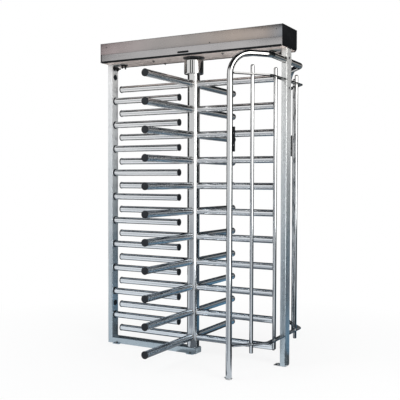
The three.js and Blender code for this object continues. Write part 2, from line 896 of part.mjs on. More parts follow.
// How far the coil's face and the stem's end lie from the link pin.
function coilFace() {
  return pawlPivotOut - solenoidGap / 2 - solenoidLength;
}

function stemEnd() {
  return coilFace() + plungerInset;
}

// The plunger lies along +Y from its pin to the coil, with an ear above and below the pawl's tail.
function plungerGeometry() {
  const half = yokeWidth / 2;
  const gapHalf = wheelThickness / 2 + runningGap;
  const earTop = gapHalf + yokeEar;
  const throat = tailHalfWidth + yokeClearance;
  const yoke = block(-half, half, -half, throat + yokeEar, -earTop, earTop);
  const mouth = block(-half - cutOverrun, half + cutOverrun, -half - cutOverrun, throat, -gapHalf, gapHalf);
  const pin = rod(linkPinDiameter / 2, -earTop, earTop, smallSides);
  const stem = alongY(rod(plungerDiameter / 2, throat, stemEnd(), smallSides));
  return joined(cut(yoke, mouth), pin, stem);
}

function solenoidGeometry() {
  const coil = extruded(roundedRectangle(solenoidWidth, solenoidHeight, solenoidCorner), solenoidLength);
  const bore = rod(plungerDiameter / 2 + runningGap, -cutOverrun, plungerInset + plungerRunout, smallSides);
  bore.translate(0, linkHeight - plateTop - solenoidHeight / 2, 0);
  return alongY(cut(coil, bore).rotateZ(Math.PI));
}

function mirrored(geometry) {
  return geometry.clone().scale(1, -1, 1);
}

function addLocks() {
  const pawl = pawlGeometry();
  const plunger = plungerGeometry();
  const solenoid = solenoidGeometry();
  const locks = { entry: -1, exit: 1 };
  for (const [name, side] of Object.entries(locks)) {
    const facing = (geometry) => (side < 0 ? geometry : mirrored(geometry));
    const lock = new THREE.Group();
    lock.position.set(-pawlPivotBack, side * pawlPivotOut, 0);
    turnstile.add(lock);
    const pawlPiece = addPiece(`${name}_pawl`, facing(pawl), finish.steel, lock);
    pawlPiece.position.z = pawlBottom;
    const plungerPiece = addPiece(`${name}_plunger`, facing(plunger), finish.steel, lock);
    plungerPiece.position.set(-tailReach, 0, linkHeight);
    const coilPiece = addPiece(`${name}_solenoid`, facing(solenoid), finish.zinc, lock);
    coilPiece.position.set(-tailReach, -side * coilFace(), plateTop + solenoidHeight / 2);
  }
}

function addDamper() {
  const drumTop = bridgeTop + damperHeight;
  const halfSpan = bridgeSpan / 2;
  const legs = [
    block(-halfSpan, bridgeLeg - halfSpan, -bridgeDepth / 2, bridgeDepth / 2, plateTop, bridgeTop),
    block(halfSpan - bridgeLeg, halfSpan, -bridgeDepth / 2, bridgeDepth / 2, plateTop, bridgeTop),
  ];
  const deck = block(-halfSpan, halfSpan, -bridgeDepth / 2, bridgeDepth / 2, bridgeBottom, bridgeTop);
  const drum = turned([
    [0, bridgeBottom],
    [damperDiameter / 2, bridgeBottom],
    [damperDiameter / 2, drumTop],
    [damperCoverDiameter / 2, drumTop],
    [damperCoverDiameter / 2, drumTop + damperCoverHeight],
    [0, drumTop + damperCoverHeight],
  ], columnSides);
  const socket = rod(shaftRadius + runningGap, bridgeBottom - cutOverrun, shaftTop + runningGap, columnSides);
  addPiece('damper_bridge', cut(joined(deck, ...legs, drum), socket), finish.zinc);
}

function addControlBox() {
  const box = extruded(roundedRectangle(controlLength, controlDepth, controlCorner), controlHeight);
  const piece = addPiece('control_box', box, finish.greyPlastic);
  piece.position.set(controlStart + controlLength / 2, 0, trayFloorTop);
}

addPosts();
addFloorRail();
addComb();
addHeader();
addBrackets();
addGuard();
addBearings();
addRotor();
addMechanismPlate();
addLocks();
addDamper();
addControlBox();

export default turnstile;
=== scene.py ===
# %% [markdown]
# # Full height turnstile
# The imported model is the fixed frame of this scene: its joints, its bodies and the place of each part.
# Everything below is dressed round it in metres, with the floor at zero height and the rotor's axis as Z.

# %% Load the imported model
import math
import bpy
from mathutils import Matrix, Vector


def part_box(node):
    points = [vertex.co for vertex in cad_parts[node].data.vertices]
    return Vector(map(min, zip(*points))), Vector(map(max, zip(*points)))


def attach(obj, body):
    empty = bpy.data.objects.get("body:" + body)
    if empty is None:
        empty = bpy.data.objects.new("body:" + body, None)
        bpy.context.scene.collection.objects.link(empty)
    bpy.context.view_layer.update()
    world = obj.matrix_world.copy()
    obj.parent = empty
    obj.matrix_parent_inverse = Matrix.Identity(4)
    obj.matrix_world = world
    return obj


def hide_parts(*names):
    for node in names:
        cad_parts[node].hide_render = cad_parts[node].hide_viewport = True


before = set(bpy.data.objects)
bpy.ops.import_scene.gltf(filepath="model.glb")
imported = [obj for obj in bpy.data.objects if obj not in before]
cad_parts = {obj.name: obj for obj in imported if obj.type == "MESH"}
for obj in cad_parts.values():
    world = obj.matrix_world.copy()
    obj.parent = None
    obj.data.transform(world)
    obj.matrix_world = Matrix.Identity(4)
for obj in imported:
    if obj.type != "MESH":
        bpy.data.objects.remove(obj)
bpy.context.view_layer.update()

# %% [markdown]
# ## Camera
# The camera stands where the photograph was taken, found by fitting the regular tiers of arms.
# A long lens from five metres keeps the posts nearly parallel, as in the photograph.

# %% Camera
camera_place = (2.5187, -4.427, 1.266)
yaw, pitch, roll = math.radians(29.104), math.radians(-1.618), math.radians(0.179)
camera_data = bpy.data.cameras.new("camera")
camera_data.lens = 62.87
camera_data.sensor_width = 36
camera = bpy.data.objects.new("camera", camera_data)
bpy.context.scene.collection.objects.link(camera)
aim = Matrix.Rotation(yaw, 4, "Z") @ Matrix.Rotation(math.pi / 2 + pitch, 4, "X") @ Matrix.Rotation(roll, 4, "Z")
camera.matrix_world = Matrix.Translation(camera_place) @ aim
bpy.context.scene.camera = camera
print("camera:", [round(value, 3) for value in camera.location], "lens", camera_data.lens)

# %% [markdown]
# ## Small helpers
# An operator works on whatever is selected, so each step first clears the selection.
# Faces and edges are then picked in code, by where they lie or which way they point.

# %% Selection helpers
def only(thing):
    """Makes one object the selected and active one."""
    if bpy.context.mode != "OBJECT":
        bpy.ops.object.mode_set(mode="OBJECT")
    bpy.ops.object.select_all(action="DESELECT")
    thing.select_set(True)
    bpy.context.view_layer.objects.active = thing


def edit(thing, kind, test):
    """Goes into edit mode with the faces or edges selected whose middle and direction pass the test."""
    only(thing)
    mesh = thing.data
    bpy.context.tool_settings.mesh_select_mode = (False, kind == "edges", kind == "faces")
    for part in list(mesh.vertices) + list(mesh.edges) + list(mesh.polygons):
        part.select = False
    for part in mesh.polygons if kind == "faces" else mesh.edges:
        if kind == "faces":
            part.select = test(part.center, part.normal)
        else:
            ends = [mesh.vertices[i].co for i in part.vertices]
            part.select = test((ends[0] + ends[1]) / 2, (ends[1] - ends[0]).normalized())
    bpy.ops.object.mode_set(mode="EDIT")


def leave():
    bpy.ops.object.mode_set(mode="OBJECT")
    return bpy.context.object


def change(thing, kind, test, operator, **settings):
    """Picks faces or edges, works on them with one operator and comes out of edit mode again."""
    edit(thing, kind, test)
    operator(**settings)
    return leave()


def every(middle, direction):
    return True


def settle(thing):
    """Moves an object's place, turn and size into its mesh."""
    only(thing)
    bpy.ops.object.transform_apply(location=True, rotation=True, scale=True)
    return thing


def fresh(operator, stretch=(1, 1, 1), **settings):
    """Adds one primitive and stretches it."""
    bpy.ops.object.select_all(action="DESELECT")
    operator(**settings)
    piece = bpy.context.object
    piece.scale = stretch
    return settle(piece)


def outward(thing):
    """Merges doubled corners and turns all faces outwards."""
    only(thing)
    bpy.ops.object.mode_set(mode="EDIT")
    bpy.ops.mesh.select_all(action="SELECT")
    bpy.ops.mesh.remove_doubles(threshold=0.00001)
    bpy.ops.mesh.normals_make_consistent(inside=False)
    return leave()


def smooth(thing, degrees=30):
    """Shades a mesh smooth, apart from the edges that turn by more than the given angle."""
    only(thing)
    bpy.ops.object.shade_smooth_by_angle(angle=math.radians(degrees))
    return thing

# %% [markdown]
# A modifier does its work on the whole mesh at once: it rounds edges, gives a sheet its wall or cuts one
# closed mesh out of another. It is applied straight away, so that later steps see the finished faces.
# What repeats is modelled once and copied, and each copy gets a mesh of its own.

# %% Modifier and copy helpers
def with_modifier(thing, kind, **settings):
    """Adds a modifier, sets it and applies it."""
    only(thing)
    modifier = thing.modifiers.new(kind.lower(), kind)
    for key, value in settings.items():
        setattr(modifier, key, value)
    bpy.ops.object.modifier_apply(modifier=modifier.name)
    return thing


def soften(thing, width, steps=2, limit=35):
    """Rounds the sharp edges, then shades the mesh smooth between them."""
    return smooth(with_modifier(thing, "BEVEL", width=width, segments=steps, limit_method="ANGLE",
                                angle_limit=math.radians(limit)))


def walled(thing, wall, even=True):
    """Gives a surface a wall on its inner side."""
    return with_modifier(thing, "SOLIDIFY", thickness=wall, offset=-1, use_even_offset=even)


def placed(piece, place=(0, 0, 0), degrees=(0, 0, 0)):
    """Turns a piece about X, Y and Z and moves it to its place."""
    piece.rotation_euler = [math.radians(value) for value in degrees]
    piece.location = place
    return settle(piece)


def twin(thing, shift=(0, 0, 0), degrees=0):
    """Copies a piece with a mesh of its own, turned about the upright axis and shifted."""
    copy = thing.copy()
    copy.data = thing.data.copy()
    bpy.context.scene.collection.objects.link(copy)
    return placed(copy, shift, (0, 0, degrees))


def fused(things):
    """Joins several meshes into the first one."""
    only(things[0])
    for thing in things:
        thing.select_set(True)
    bpy.ops.object.join()
    return bpy.context.object


def thrown_away(*pieces):
    """Removes the pieces that were only there to be copied or to cut with."""
    for piece in pieces:
        bpy.data.objects.remove(piece, do_unlink=True)


def bored(thing, cutter):
    """Cuts one closed mesh out of another and throws the cutter away."""
    with_modifier(thing, "BOOLEAN", operation="DIFFERENCE", object=cutter, solver="EXACT")
    thrown_away(cutter)
    return thing

# %% [markdown]
# Every piece ends the same way. Its place is moved into its mesh, it gets one finish, and it is told which
# body carries it. Where it stands for a solid of the model, that solid is hidden behind it.

# %% Naming and measuring
def finished(thing, name, finish, stands_for="", body="frame"):
    """Names a piece, gives it its finish, and says what it stands for and which body carries it."""
    settle(thing)
    thing.name = thing.data.name = name
    thing.data.materials.clear()
    thing.data.materials.append(finish)
    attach(thing, body)
    if stands_for:
        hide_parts(stands_for)
    return thing


def second_finish(thing, finish, test):
    """Gives the faces that pass the test another finish."""
    thing.data.materials.append(finish)
    for face in thing.data.polygons:
        if test(face.center, face.normal):
            face.material_index = 1


def measured(node_name):
    """The lowest corner, the highest corner, the size and the middle of one solid of the model."""
    low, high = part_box(node_name)
    return low, high, [b - a for a, b in zip(low, high)], [(b + a) / 2 for a, b in zip(low, high)]


def heights(node_name):
    """The foot and the head of one solid of the model."""
    return [corner[2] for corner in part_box(node_name)]

# %% [markdown]
# ## Finishes
# Nearly all of the object is stainless steel tube. Its look comes mostly from what it reflects, so the material
# itself needs a grey of the right depth with a painted reflection tint, a little haze that changes from place to
# place, and fine polishing lines. The lines are a noise texture that is stretched along the way the belt ran.

# %% Node helpers
def new_finish(name):
    finish = bpy.data.materials.new(name)
    finish.use_nodes = True
    return finish, finish.node_tree, finish.node_tree.nodes["Principled BSDF"]


def node(tree, kind, inputs=(), **settings):
    """Makes a node. Each of its inputs takes a value, or is wired to another node's output."""
    made = tree.nodes.new(kind)
    for key, value in settings.items():
        setattr(made, key, value)
    for key, value in dict(inputs).items():
        if isinstance(value, bpy.types.NodeSocket):
            tree.links.new(value, made.inputs[key])
        else:
            made.inputs[key].default_value = value
    return made


def sums(tree, operation, first, second):
    return node(tree, "ShaderNodeMath", {0: first, 1: second}, operation=operation).outputs["Value"]


def own_place(tree):
    return node(tree, "ShaderNodeTexCoord").outputs["Object"]


def noise(tree, scale, stretch=(1, 1, 1), detail=3, shift=(0, 0, 0)):
    """A noise pattern on the object's own coordinates, stretched by the given scales."""
    mapping = node(tree, "ShaderNodeMapping", {"Vector": own_place(tree), "Scale": stretch, "Location": shift})
    pattern = {"Vector": mapping.outputs["Vector"], "Scale": scale, "Detail": detail}
    return node(tree, "ShaderNodeTexNoise", pattern).outputs["Fac"]


noise_span = (0.3, 0.7)


def spread(tree, source, low, high, span=noise_span):
    """Stretches the part of a pattern that lies in a span to the range between two values."""
    levels = {"Value": source, "From Min": span[0], "From Max": span[1], "To Min": low, "To Max": high}
    return node(tree, "ShaderNodeMapRange", levels).outputs["Result"]


def bands(tree, source, stops):
    """Turns a pattern into a colour that runs through several stops, each a level and its colour."""
    band = node(tree, "ShaderNodeValToRGB", {"Fac": source})
    elements = band.color_ramp.elements
    for element, (level, colour) in zip(elements, (stops[0], stops[-1])):
        element.position, element.color = level, (*colour, 1)
    for level, colour in stops[1:-1]:
        elements.new(level).color = (*colour, 1)
    return band.outputs["Color"]


def two_tones(tree, source, low, high):
    return bands(tree, source, list(zip(noise_span, (low, high))))


def colours_along(tree, source, stops):
    """Runs through several colours as the source goes from the first stop's place to the last one's."""
    first, last = stops[0][0], stops[-1][0]
    shares = [((place - first) / (last - first), colour) for place, colour in stops]
    return bands(tree, spread(tree, source, 0, 1, (first, last)), shares)


def grain(tree, shader, source, strength, distance):
    """Gives the surface fine relief from a pattern."""
    bump = node(tree, "ShaderNodeBump", {"Height": source, "Strength": strength, "Distance": distance})
    tree.links.new(bump.outputs["Normal"], shader.inputs["Normal"])


print("a noise is read between", noise_span)

# %% [markdown]
# The steel's colour carries a painted reflection: warmer near the header and cooler, towards blue, near the floor.
# A picture could be wrapped round each tube, but a gradient of two greys needs none and never repeats: it follows
# the height, and a large soft noise breaks it up. The lid's colour drifts along its length, also as a painted
# reflection.

# %% Stainless steel
def stainless(name, head_reflection, foot_reflection, haze, stretch, relief=0, lines_haze=0.03, matt=(0, 0), along=()):
    """Steel with a painted reflection in its colour, which turns cooler towards the floor or drifts along X, with
    hazy patches and polishing lines.

    The two matt shares, at the foot and at the head, turn polished steel into dull sheet."""
    finish, tree, shader = new_finish(name)
    axes = node(tree, "ShaderNodeSeparateXYZ", {"Vector": own_place(tree)}).outputs
    height = spread(tree, axes["Z"], 0, 1, (0.1, 2.2))
    # Painted reflection: the colour runs along X, or from a cooler, bluer foot to a warmer head.
    reflection_tint = colours_along(tree, axes["X"], along) if along else bands(tree, height, [(0, foot_reflection), (1, head_reflection)])
    cloud = two_tones(tree, noise(tree, 2.5, detail=2), (0.86, 0.87, 0.88), (1, 1, 1))
    colour = node(tree, "ShaderNodeMix", {"Factor": 1, 6: reflection_tint, 7: cloud}, data_type="RGBA", blend_type="MULTIPLY")
    tree.links.new(colour.outputs[2], shader.inputs["Base Color"])
    shader.inputs["Metallic"].default_value = 1
    if any(matt):
        tree.links.new(spread(tree, height, 1 - matt[0], 1 - matt[1]), shader.inputs["Metallic"])
    lines = noise(tree, 1, stretch, detail=4)
    patches = spread(tree, noise(tree, 6, shift=(3, 1, 2)), haze * 0.8, haze * 1.25)
    fine = spread(tree, lines, -lines_haze, lines_haze)
    tree.links.new(sums(tree, "ADD", patches, fine), shader.inputs["Roughness"])
    if relief > 0:
        grain(tree, shader, lines, relief, 0.0004)
    return finish


round_lines, upright_lines, long_lines = (260, 260, 260), (420, 420, 9), (7, 420, 420)
# The two colours of each steel are a painted reflection: warm near the header, and cooler and bluer near the floor,
# where most of them are also darker.
polished = stainless("polished_stainless", (0.66, 0.65, 0.635), (0.47, 0.51, 0.55), 0.13, round_lines, 0, 0.015)
bar_polish = stainless("bar_polish", (0.82, 0.81, 0.8), (0.68, 0.74, 0.8), 0.17, round_lines, 0, 0)
hoop_polish = stainless("hoop_polish", (0.19, 0.185, 0.18), (0.16, 0.18, 0.2), 0.2, round_lines)
upright_grain = stainless("stainless_upright_grain", (0.76, 0.75, 0.73), (0.4, 0.48, 0.54), 0.27, upright_lines,
                          0.05, matt=(0.12, 0.5))
post_grain = stainless("stainless_post_grain", (0.8, 0.79, 0.78), (0.4, 0.48, 0.54), 0.27, upright_lines,
                       0.05, matt=(0.25, 0.85))
# Painted reflection along the lid: pinkish at the left, yellowish to the right, darker and bluer at the right end.
lid_reflection_tints = [(-0.74, (0.46, 0.385, 0.385)), (-0.25, (0.37, 0.345, 0.335)), (0.05, (0.38, 0.35, 0.335)),
               (0.4, (0.42, 0.36, 0.32)), (0.62, (0.41, 0.36, 0.33)), (0.74, (0.3, 0.31, 0.33))]
long_grain = stainless("stainless_long_grain", (), (), 0.25, long_lines, 0.06, along=lid_reflection_tints)
under_grain = stainless("stainless_under_grain", (0.9, 0.77, 0.71), (0.9, 0.77, 0.71), 0.3, long_lines,
                        0.02, matt=(0, 0.85))
top_grain = stainless("stainless_top_grain", (0.62, 0.6, 0.59), (0.56, 0.57, 0.58), 0.34, long_lines,
                      0.02, matt=(0.75, 0.75))
tray_grain = stainless("stainless_tray_grain", (0.45, 0.435, 0.435), (0.46, 0.49, 0.53), 0.25, long_lines, 0.06)
print("stainless finishes:", polished.name, upright_grain.name, long_grain.name)

# %% [markdown]
# Weld beads were brushed clean but stay duller than the tube. Plastic caps are matt black with a faint
# moulded texture. Cast and coated iron is nearly black, with a coarse skin that catches a little light.
# All of them are one recipe, a noise that runs between two colours and two depths of haze, at other scales.

# %% Other finishes
def speckled(name, low, high, haze, scale, relief=0.15, metallic=1, gloss=0.5):
    """A metal or a plastic whose colour and haze run between two levels in fine speckles."""
    finish, tree, shader = new_finish(name)
    pattern = noise(tree, scale, detail=5)
    tree.links.new(two_tones(tree, pattern, low, high), shader.inputs["Base Color"])
    tree.links.new(spread(tree, pattern, haze * 0.8, haze * 1.2), shader.inputs["Roughness"])
    shader.inputs["Metallic"].default_value = metallic
    shader.inputs["Specular IOR Level"].default_value = gloss
    grain(tree, shader, pattern, relief, 0.0006)
    return finish


weld_bright = speckled("bright_weld", (0.4, 0.4, 0.4), (0.62, 0.61, 0.6), 0.4, 900, 0.3)
weld = speckled("brushed_weld", (0.2, 0.2, 0.2), (0.46, 0.45, 0.44), 0.38, 900, 0.4)
machined = speckled("machined_steel", (0.36, 0.37, 0.39), (0.5, 0.51, 0.53), 0.3, 300)
zinc = speckled("zinc_plate", (0.5, 0.51, 0.5), (0.66, 0.67, 0.66), 0.42, 60)
bolt_zinc = speckled("bolt_zinc", (0.1, 0.1, 0.1), (0.22, 0.22, 0.22), 0.36, 400)
iron = speckled("coated_iron", (0.016, 0.018, 0.02), (0.045, 0.047, 0.05), 0.42, 500, 0.3, 0)
cap_black = speckled("cap_plastic", (0.006, 0.008, 0.011), (0.018, 0.021, 0.026), 0.36, 700, 0.2, 0, 0.28)
panel_black = speckled("panel_plastic", (0.003, 0.004, 0.005), (0.008, 0.009, 0.011), 0.45, 350, 0.25, 0, 0.15)
plug_grey = speckled("plug_plastic", (0.2, 0.25, 0.29), (0.27, 0.32, 0.36), 0.45, 300, 0.2, 0)
# Near-black bolts: partly their own dark colour and partly painted shadow, since the colour also stands in for the
# shadow beside each bolt.
bolt_black_and_shadow = speckled("bolt_dark_with_shadow", (0.006, 0.006, 0.007), (0.02, 0.02, 0.022), 0.42, 400, 0.2, 0, 0.2)
box_grey = speckled("box_plastic", (0.3, 0.31, 0.32), (0.38, 0.39, 0.4), 0.5, 250, 0.2, 0)
print("finishes:", len(bpy.data.materials))

# %% [markdown]
# ## Studio
# The floor is pale and keeps a soft shadow. The rays that the camera and the steel send out see it and the
# sky as white, and the rays that light the object see a plainer level, so nothing gets too bright.

# %% Floor and world
def white_share(tree):
    """One for the rays that should see the white backdrop, and nothing for the rays that light the object."""
    path = node(tree, "ShaderNodeLightPath").outputs
    seen = sums(tree, "MAXIMUM", path["Is Camera Ray"], path["Is Glossy Ray"])
    return sums(tree, "MAXIMUM", seen, path["Is Transmission Ray"])


def mix(tree, share, first, second):
    return node(tree, "ShaderNodeMixShader", {"Fac": share, 1: first, 2: second}).outputs["Shader"]


bpy.context.scene.view_settings.view_transform = "Standard"
world = bpy.data.worlds.new("studio")
bpy.context.scene.world = world
world.use_nodes = True
sky = world.node_tree
soft = sky.nodes["Background"]
soft.inputs["Color"].default_value = (0.96, 0.98, 1, 1)
soft.inputs["Strength"].default_value = 0.62
white = node(sky, "ShaderNodeBackground", {"Color": (1, 1, 1, 1), "Strength": 1})
seen_sky = mix(sky, white_share(sky), soft.outputs["Background"], white.outputs["Background"])
sky.links.new(seen_sky, sky.nodes["World Output"].inputs["Surface"])

floor = fresh(bpy.ops.mesh.primitive_plane_add, size=60, location=(0, 0, -0.0005))
floor.name = "floor"
floor_finish, tree, shader = new_finish("pale_floor")
shader.inputs["Base Color"].default_value = (0.93, 0.93, 0.93, 1)
shader.inputs["Roughness"].default_value = 0.9
shader.inputs["Specular IOR Level"].default_value = 0
glow = node(tree, "ShaderNodeEmission", {"Color": (1, 1, 1, 1)})
distance = node(tree, "ShaderNodeVectorMath", {0: own_place(tree)}, operation="LENGTH").outputs["Value"]
share = sums(tree, "MULTIPLY", white_share(tree), spread(tree, distance, 0.84, 1, (0.8, 2.6)))
seen_floor = mix(tree, share, shader.outputs["BSDF"], glow.outputs["Emission"])
tree.links.new(seen_floor, tree.nodes["Material Output"].inputs["Surface"])
floor.data.materials.append(floor_finish)
print("floor and world ready")

# %% [markdown]
# Polished steel only looks like steel when there is something dark to reflect. Photographers hang black
# cloth and white boards round it, out of the picture. The same is done here: curved screens and flat cloths
# stand round the object, seen in reflections alone, and they neither light it nor shade it. Each direction
# round the object shows on another part of a tube, so each screen covers only the directions it is for.

# %% Cloths
def cloth_finish(name, stops, upright=False):
    """Cloth of an even level whatever the light, which follows its height or its distance from the middle."""
    finish, tree, shader = new_finish(name)
    if upright:
        source = node(tree, "ShaderNodeSeparateXYZ", {"Vector": own_place(tree)}).outputs["Z"]
    else:
        source = node(tree, "ShaderNodeVectorMath", {0: own_place(tree)}, operation="LENGTH").outputs["Value"]
    glow = node(tree, "ShaderNodeEmission", {"Color": colours_along(tree, source, stops)})
    tree.links.new(glow.outputs["Emission"], tree.nodes["Material Output"].inputs["Surface"])
    return finish


def hung(cloth, name, finish):
    """Cloth that lights nothing, shades nothing and isn't seen by the camera itself."""
    cloth.name = name
    cloth.data.materials.append(finish)
    cloth.visible_camera = cloth.visible_diffuse = cloth.visible_shadow = False


def sector(thing, start, end):
    """Keeps only the faces that stand between two directions round the object, in degrees."""
    def outside(middle, normal):
        return (math.degrees(math.atan2(middle.y, middle.x)) - start) % 360 > end - start
    return change(thing, "faces", outside, bpy.ops.mesh.delete, type="FACE")


screen_radius, screen_top = 5.5, 4.5


def screen(name, start, end, bottom, finish):
    """A curved screen that only shows in reflections."""
    wall = fresh(bpy.ops.mesh.primitive_cylinder_add, vertices=180, radius=screen_radius, depth=screen_top - bottom,
                 end_fill_type="NOTHING", location=(0, 0, (screen_top + bottom) / 2))
    hung(sector(wall, start, end), name, finish)


def ground_cloth(name, inner, outer, start, end, height, finish):
    """A part of a flat ring of cloth that only shows in reflections."""
    ring = fresh(bpy.ops.mesh.primitive_circle_add, vertices=180, radius=outer, fill_type="NGON",
                 location=(0, 0, height))
    edit(ring, "faces", every)
    bpy.ops.mesh.inset(thickness=outer - inner)
    bpy.ops.mesh.delete(type="FACE")
    hung(sector(leave(), start, end), name, finish)


black_cloth = cloth_finish("black_cloth", [
    (0, (0.014, 0.02, 0.024)), (2, (0.012, 0.014, 0.016)), (8, (0.006, 0.006, 0.008))], True)
graded_cloth = cloth_finish("graded_cloth", [
    (0, (0.1, 0.19, 0.26)), (0.5, (0.1, 0.15, 0.18)), (1, (0.125, 0.135, 0.14)),
    (1.5, (0.2, 0.2, 0.2)), (1.9, (0.46, 0.455, 0.45)), (2.35, (0.44, 0.435, 0.43)),
    (2.65, (0.05, 0.052, 0.052)), (8, (0.01, 0.01, 0.012))], True)
ground_teal = cloth_finish("ground_teal", [
    (0, (0.08, 0.19, 0.3)), (1.2, (0.115, 0.24, 0.345)), (1.9, (0.2, 0.345, 0.46)),
    (2.8, (0.08, 0.11, 0.14)), (6, (0.11, 0.13, 0.15))])
ground_grey = cloth_finish("ground_grey", [(0, (0.5, 0.52, 0.55)), (20, (0.62, 0.64, 0.66))])
ground_dark = cloth_finish("ground_dark", [(0, (0.045, 0.052, 0.056)), (6, (0.045, 0.05, 0.054))])
# Painted shadow: a darker cloth on the floor under the rotor's front arms, which stands in for the shade there in
# reflections.
floor_shadow_cloth = cloth_finish("floor_shadow_cloth", [(0, (0.22, 0.235, 0.25)), (1, (0.13, 0.145, 0.155))])
ground_white = cloth_finish("ground_white", [(0, (1, 1, 1)), (6, (0.96, 0.98, 1))])
screen("screen_right", -8, 50, 0.02, black_cloth)
screen("screen_far", 50, 104, 0.02, graded_cloth)
screen("screen_back", 104, 136, 0.3, black_cloth)
screen("screen_left", 136, 208, 0.02, black_cloth)
ground_cloth("screen_top", 0.4, 5.5, -92, 210, 3.8, black_cloth)
ground_cloth("screen_top_front", 0.4, 5.5, -150, -92, 4.7, black_cloth)
ground_cloth("screen_skirt", 0.8, 5.48, 20, 110, 0.006, ground_teal)
ground_cloth("screen_apron", 0.8, 5.48, -50, -28, 0.008, ground_white)
ground_cloth("screen_side", 0.75, 5.48, -28, 20, 0.007, ground_dark)
ground_cloth("screen_front", 0.9, 20, -135, -65, 0.01, ground_grey)
# The smaller cloth, under the rotor's front arms, is painted shadow: it puts the floor's shade into reflections.
for name, middle, size, finish in (
        ("screen_sheet", (-0.75, 1.21, 0.003), (4.1, 2.4, 1), ground_dark),
        ("screen_floor_shadow", (0.165, -0.315, 0.003), (0.57, 0.61, 1), floor_shadow_cloth)):
    hung(fresh(bpy.ops.mesh.primitive_plane_add, size, size=1, location=middle), name, finish)

# %% [markdown]
# Two wide soft lamps stand in front. One is also mirrored by the steel, as the bright band along the
# uprights. The other only fills the shadows, because its mirror image would burn out the header.

# %% Lamps
lamps = (
    ("lamp_right", (4, -1.8, 1.9), (0, 0, 1.2), (2.2, 3.8), 120, (1, 0.985, 0.96), True),
    ("lamp_left", (-2.1, -3.3, 4.4), (0, 0, 1.1), (2.6, 2.8), 80, (0.97, 0.985, 1), False),
)
for name, place, aim, size, power, colour, mirrored in lamps:
    data = bpy.data.lights.new(name, "AREA")
    data.shape = "RECTANGLE"
    data.size, data.size_y = size
    data.energy, data.color = power, colour
    lamp = bpy.data.objects.new(name, data)
    lamp.location = place
    lamp.rotation_euler = (Vector(aim) - Vector(place)).to_track_quat("-Z", "Y").to_euler()
    lamp.visible_glossy = mirrored
    bpy.context.scene.collection.objects.link(lamp)
print("lamps:", len(lamps))

# %% [markdown]
# ## Round work
# Bars, caps, collars and flanges are all turned shapes. Each starts as a circle, and its edge is then
# extruded and scaled ring by ring, as a turner would read the drawing from the bottom to the top.

# %% Turned pieces
def open_edges():
    """Goes into edit mode with every edge selected."""
    bpy.context.tool_settings.mesh_select_mode = (False, True, False)
    bpy.ops.object.mode_set(mode="EDIT")
    bpy.ops.mesh.select_all(action="SELECT")


def pushed(way):
    bpy.ops.mesh.extrude_edges_move(TRANSFORM_OT_translate={"value": way})


def turned(rings, sides=48, hole=False):
    """Builds a turned shape along Z from pairs of radius and height, solid or with a hole through it."""
    radius, height = rings[0]
    piece = fresh(bpy.ops.mesh.primitive_circle_add, vertices=sides, radius=radius, fill_type="NOTHING",
                  location=(0, 0, height))
    open_edges()
    if not hole:
        bpy.ops.mesh.edge_face_add()
    for next_radius, next_height in rings[1:]:
        pushed((0, 0, next_height - height))
        size = next_radius / radius
        bpy.ops.transform.resize(value=(size, size, 1), center_override=(0, 0, next_height))
        radius, height = next_radius, next_height

    def first_or_last(middle, way):
        return abs(way.z) < 0.01 and any(
            abs(middle.z - level) < 1e-6 and abs(math.hypot(middle.x, middle.y) - reach) < reach * 0.01
            for reach, level in (rings[0], rings[-1]))
    if hole:
        leave()
        edit(piece, "edges", first_or_last)
        bpy.ops.mesh.bridge_edge_loops()
    else:
        bpy.ops.mesh.edge_face_add()
    leave()
    return outward(piece)


def lying(piece, degrees=0, height=0):
    """Lays a piece that was built along Z down along +X, turns it about Z and lifts it to a height."""
    return placed(placed(placed(piece, degrees=(0, 90, 0)), degrees=(0, 0, degrees)), (0, 0, height))

# %% [markdown]
# Everything flat or square starts as a scaled cube. A flat plate gets rounded corners in plan and broken edges. The
# same helper makes foot plates, brackets, strips and the black lines along the tray's edges.

# %% Blocks and flat plates
def block(size, middle):
    return fresh(bpy.ops.mesh.primitive_cube_add, size, size=1, location=middle)


def opened(thing, test):
    """Takes off the faces that pass the test and keeps their edges."""
    return change(thing, "faces", test, bpy.ops.mesh.delete, type="ONLY_FACE")


def rounded(thing, test, size, steps=4):
    """Bevels the edges that pass the test. One step cuts a flat corner."""
    return change(thing, "edges", test, bpy.ops.mesh.bevel, offset=size, segments=steps, affect="EDGES")


def plate(size, middle, round_corners=0.004, edge=0.0008):
    """A flat plate with rounded corners in plan and broken edges."""
    thin = min(range(3), key=lambda axis: size[axis])
    return soften(rounded(block(size, middle), lambda place, way: abs(way[thin]) > 0.9, round_corners), edge)

# %% [markdown]
# ## Rotor
# Eleven tiers of four arms turn with the column. One arm is modelled with its weld bead and its plastic
# cap, then copied round the column and up the tiers. The bead's ring is pressed onto the column, so that
# it follows the saddle where two round tubes meet.

# %% Sizes of the rotor
tier_pitch = 0.184
tier_heights = [0.122 + tier_pitch * tier for tier in range(11)]
arm_radius, arm_root, arm_reach, column_radius = 0.024, 0.0405, 0.645, 0.045

# %% Arm, bead and cap
def capped_bar(root, end):
    """A tube along +X, and the black cap that is pushed into its end."""
    tube = turned([(arm_radius, root), (arm_radius, end - 0.0098), (arm_radius - 0.0012, end - 0.0088)], 56)
    tube = smooth(lying(tube))
    dome = ((0.0222, 0.0098), (0.0253, 0.0095), (0.0259, 0.0086), (0.0259, 0.0036),
            (0.0253, 0.0022), (0.0236, 0.0012), (0.018, 0.0004), (0.008, 0))
    return tube, smooth(lying(turned([(radius, end - back) for radius, back in dome], 56)), 60)


